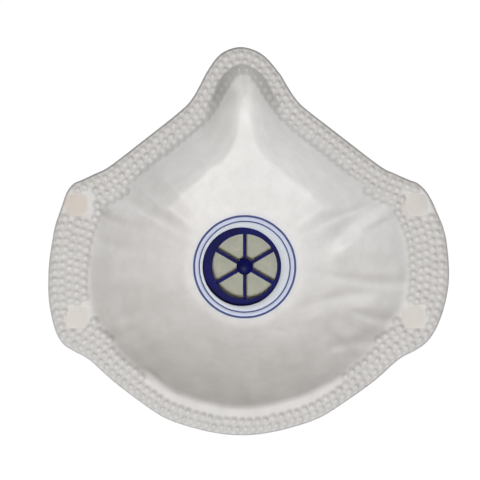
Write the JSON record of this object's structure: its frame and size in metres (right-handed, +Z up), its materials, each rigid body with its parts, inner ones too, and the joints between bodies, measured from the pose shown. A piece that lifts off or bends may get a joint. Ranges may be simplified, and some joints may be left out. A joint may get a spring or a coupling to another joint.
{
  "type": "disposable dust mask",
  "caption": "White moulded cup dust mask with an embossed face seal flange, a round blue exhalation valve, a nose clip and elastic headbands.",
  "frame": {"origin": "where the valve's axis meets the plane of the face seal, the flange's flat side towards the wearer", "axes": "+Z up to the nose as worn, +X across the face to the right as the wearer's side is looked at, +Y away from the wearer along the valve's axis"},
  "size_m": [0.139, 0.0638, 0.1346],
  "materials": {
    "facing_web": "soft white nonwoven, embossed at the flange",
    "filter_web": "dense white meltblown",
    "prefilter_web": "needled white felt",
    "shell_web": "stiff thermobonded white nonwoven",
    "cover_web": "smooth white spunbond, embossed at the flange",
    "clip_metal": "satin strip",
    "valve_plastic": "moulded, satin gloss",
    "cover_plastic": "moulded, satin gloss",
    "diaphragm_rubber": "matte, slightly translucent",
    "band_rubber": "matte, talc-dusted",
    "weld_tab": "pressed flat by the weld"
  },
  "bodies": {
    "mask": {"inner_facing": "facing_web", "electret_filter": "filter_web", "prefilter": "prefilter_web", "support_shell": "shell_web", "outer_cover": "cover_web", "nose_clip": "clip_metal", "valve_base": "valve_plastic", "diaphragm_retainer": "valve_plastic", "valve_cover": "cover_plastic", "upper_band_ends": "weld_tab", "lower_band_ends": "weld_tab"},
    "diaphragm": {"valve_diaphragm": "diaphragm_rubber"},
    "upper_band": {"upper_headband": "band_rubber"},
    "lower_band": {"lower_headband": "band_rubber"}
  },
  "joints": [
    {"name": "diaphragm_lift", "type": "slide", "parent": "mask", "child": "diaphragm", "axis": [0, 1, 0], "range_m": [0, 0.0012], "stiffness_N_per_m": 20},
    {"name": "upper_band_swing", "type": "hinge", "parent": "mask", "child": "upper_band", "pos_m": [0, 0.00383, 0.0217], "axis": [1, 0, 0], "range_deg": [-15, 60], "stiffness_Nm_per_rad": 0.006},
    {"name": "lower_band_swing", "type": "hinge", "parent": "mask", "child": "lower_band", "pos_m": [0, 0.00383, -0.0173], "axis": [1, 0, 0], "range_deg": [-60, 12], "stiffness_Nm_per_rad": 0.006}
  ]
}
